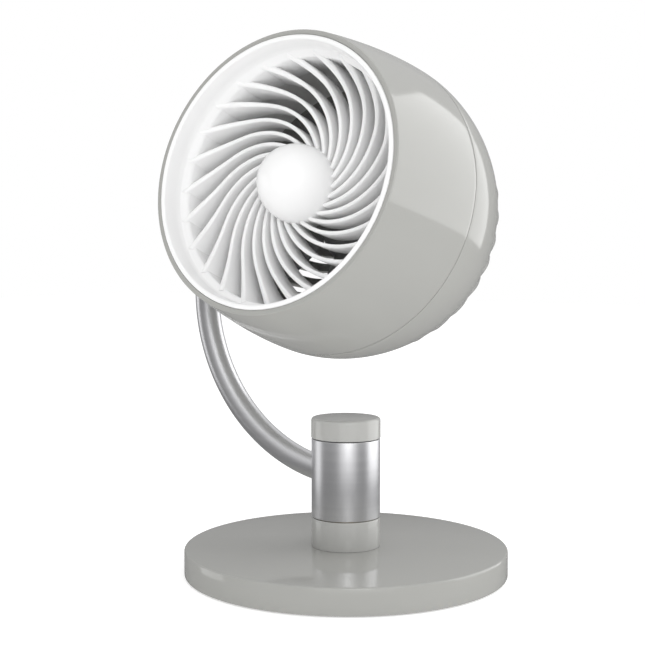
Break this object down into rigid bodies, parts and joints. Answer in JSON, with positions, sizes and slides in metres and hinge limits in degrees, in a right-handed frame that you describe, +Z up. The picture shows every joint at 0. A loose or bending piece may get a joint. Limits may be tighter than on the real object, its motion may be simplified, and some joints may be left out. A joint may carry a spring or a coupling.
{
  "type": "desk air circulator",
  "caption": "Desk air circulator: round fan head with a swirled grille, tilting on a bent tube arm that swivels on a post and disc base.",
  "frame": {"origin": "centre of the underside of the base's foot pad", "axes": "+Z up along the post; the air leaves towards -Y, tilted up 13.75 degrees at rest; the arm stands on the -X side; +X is on the right of someone who faces the grille"},
  "size_m": [0.1791, 0.1618, 0.2603],
  "materials": {
    "grey_plastic": "smooth gloss, light warm grey",
    "white_plastic": "smooth gloss white",
    "duct_plastic": "smooth gloss, mid grey",
    "dark_plastic": "fine texture, dark grey",
    "aluminium": "satin anodised",
    "steel": "zinc plated",
    "weight_iron": "as cast",
    "rubber": "matt black",
    "bush_brass": "turned",
    "winding": "enamelled copper and laminations"
  },
  "bodies": {
    "base": {"base_shell": "grey_plastic", "base_plate": "grey_plastic", "base_weight": "weight_iron", "base_screws": "steel", "foot_pad": "rubber", "cord_gland": "rubber", "base_lead": "rubber", "spindle": "steel", "post_collar": "grey_plastic", "collar_screws": "steel", "lower_bush": "bush_brass", "upper_bush": "bush_brass", "retaining_ring": "dark_plastic", "speed_switch": "dark_plastic"},
    "swivel": {"swivel_sleeve": "aluminium", "arm_tube": "aluminium", "arm_lead": "rubber", "pivot_knuckle": "aluminium", "pivot_bolt": "steel", "pivot_washer": "dark_plastic", "pivot_nut": "steel", "knuckle_cap": "aluminium"},
    "knob": {"speed_knob": "grey_plastic", "switch_shaft": "steel"},
    "head": {"front_shell": "grey_plastic", "rear_shell": "grey_plastic", "front_grille": "white_plastic", "hub_cap": "white_plastic", "air_duct": "duct_plastic", "duct_screws": "steel", "pivot_hub": "grey_plastic", "pivot_bracket": "steel", "bracket_screws": "steel", "motor_can": "steel", "motor_front_bell": "aluminium", "motor_rear_bell": "aluminium", "front_bearing": "steel", "rear_bearing": "steel", "motor_stator": "winding", "motor_screws": "steel"},
    "rotor": {"motor_shaft": "steel", "motor_rotor": "steel", "impeller": "dark_plastic", "impeller_nut": "steel"}
  },
  "joints": [
    {"name": "arm_swivel", "type": "hinge", "parent": "base", "child": "swivel", "pos_m": [0, 0, 0.047], "axis": [0, 0, 1], "range_deg": [-90, 90]},
    {"name": "speed_turn", "type": "hinge", "parent": "base", "child": "knob", "pos_m": [0, 0, 0.072], "axis": [0, 0, -1], "range_deg": [0, 135]},
    {"name": "head_tilt", "type": "hinge", "parent": "swivel", "child": "head", "pos_m": [0, 0, 0.18063], "axis": [-1, 0, 0], "range_deg": [-33.75, 76.25]},
    {"name": "rotor_spin", "type": "hinge", "parent": "head", "child": "rotor", "pos_m": [0, 0, 0.18063], "axis": [0, -0.9713, 0.2377], "continuous": true}
  ]
}
